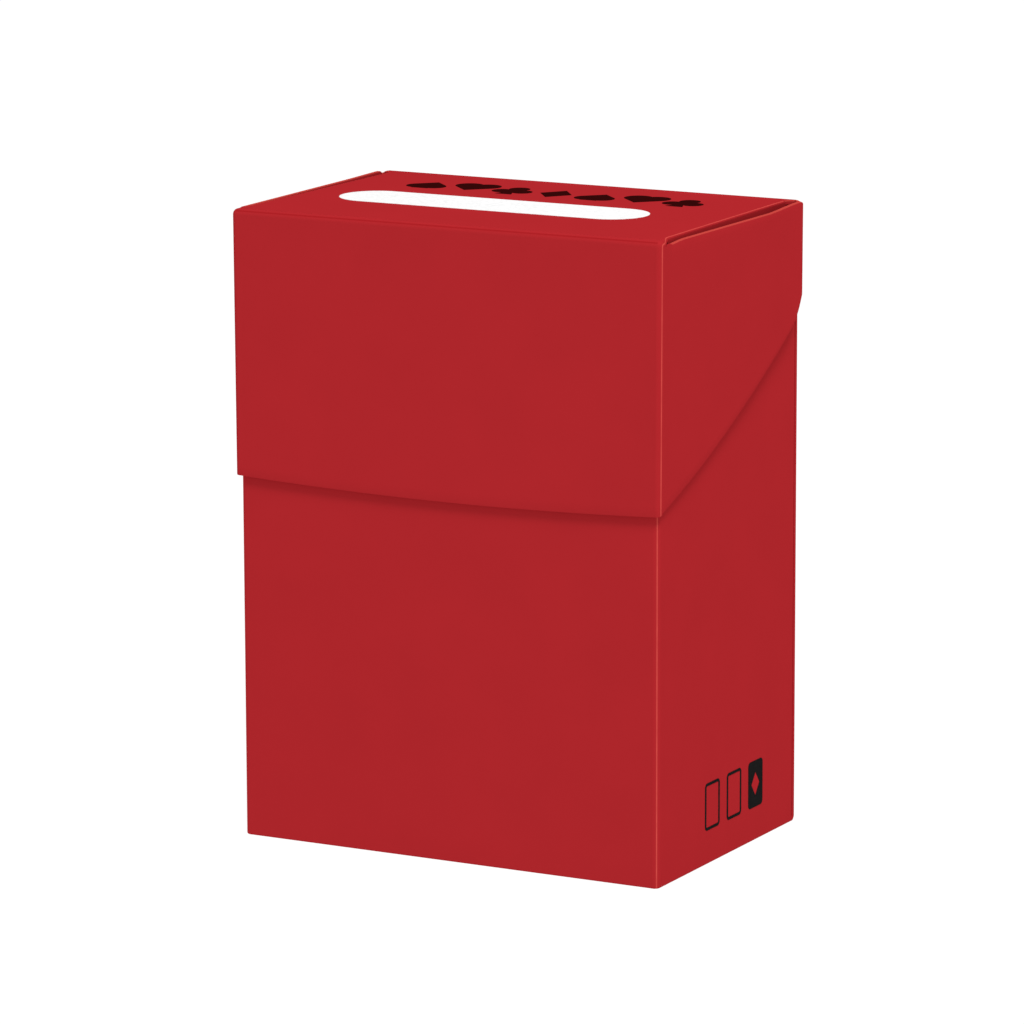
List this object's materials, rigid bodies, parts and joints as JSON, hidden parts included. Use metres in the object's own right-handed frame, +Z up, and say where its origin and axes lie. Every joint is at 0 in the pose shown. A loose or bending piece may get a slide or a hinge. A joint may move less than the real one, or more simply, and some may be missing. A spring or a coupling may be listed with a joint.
{
  "type": "card deck box",
  "caption": "Flip-top deck box for sleeved trading cards, folded from red plastic sheet, with a deep front flap, side wings, a living hinge and a loose divider.",
  "frame": {"origin": "centre of the tray's base, on the surface that the box stands on", "axes": "+Z up; the lid's deep flap and the thumb notch face -Y; the hinge runs along X at the top of the back; the printed side faces +X"},
  "size_m": [0.0728, 0.0471, 0.0957],
  "materials": {
    "tray_sheet": "fine matte grain, folded polypropylene sheet",
    "lid_sheet": "fine matte grain, folded polypropylene sheet",
    "hinge_web": "pressed thin, slightly lighter than the sheet",
    "divider_sheet": "fine matte grain, flat sheet",
    "clear_glue": "thin clear adhesive",
    "white_ink": "matte screen-printed white",
    "black_ink": "satin screen-printed black"
  },
  "bodies": {
    "tray": {"lid_hinge": "hinge_web", "side_print": "black_ink", "tray_back_panel": "tray_sheet", "tray_bottom_panel": "tray_sheet", "tray_front_base_fold": "tray_sheet", "tray_front_left_fold": "tray_sheet", "tray_front_panel": "tray_sheet", "tray_front_right_fold": "tray_sheet", "tray_left_base_fold": "tray_sheet", "tray_left_base_glue": "clear_glue", "tray_left_base_tab": "tray_sheet", "tray_left_seam_flap": "tray_sheet", "tray_left_seam_glue": "clear_glue", "tray_left_side_panel": "tray_sheet", "tray_rear_base_fold": "tray_sheet", "tray_rear_left_fold": "tray_sheet", "tray_rear_right_fold": "tray_sheet", "tray_right_base_fold": "tray_sheet", "tray_right_base_glue": "clear_glue", "tray_right_base_tab": "tray_sheet", "tray_right_seam_flap": "tray_sheet", "tray_right_seam_glue": "clear_glue", "tray_right_side_panel": "tray_sheet"},
    "lid": {"lid_front_flap": "lid_sheet", "lid_front_fold": "lid_sheet", "lid_front_left_fold": "lid_sheet", "lid_front_right_fold": "lid_sheet", "lid_left_lip": "lid_sheet", "lid_left_tab": "lid_sheet", "lid_left_tab_fold": "lid_sheet", "lid_left_wing": "lid_sheet", "lid_left_wing_glue": "clear_glue", "lid_print": "black_ink", "lid_right_lip": "lid_sheet", "lid_right_tab": "lid_sheet", "lid_right_tab_fold": "lid_sheet", "lid_right_wing": "lid_sheet", "lid_right_wing_glue": "clear_glue", "lid_top_panel": "lid_sheet", "write_on_label": "white_ink"},
    "divider": {"card_divider": "divider_sheet"}
  },
  "joints": [
    {"name": "lid_opening", "type": "hinge", "parent": "tray", "child": "lid", "pos_m": [0, 0.0231, 0.0956], "axis": [-1, 0, 0], "range_deg": [0, 240]},
    {"name": "divider_slide", "type": "slide", "parent": "tray", "child": "divider", "axis": [0, -1, 0], "range_m": [0, 0.0434]}
  ]
}
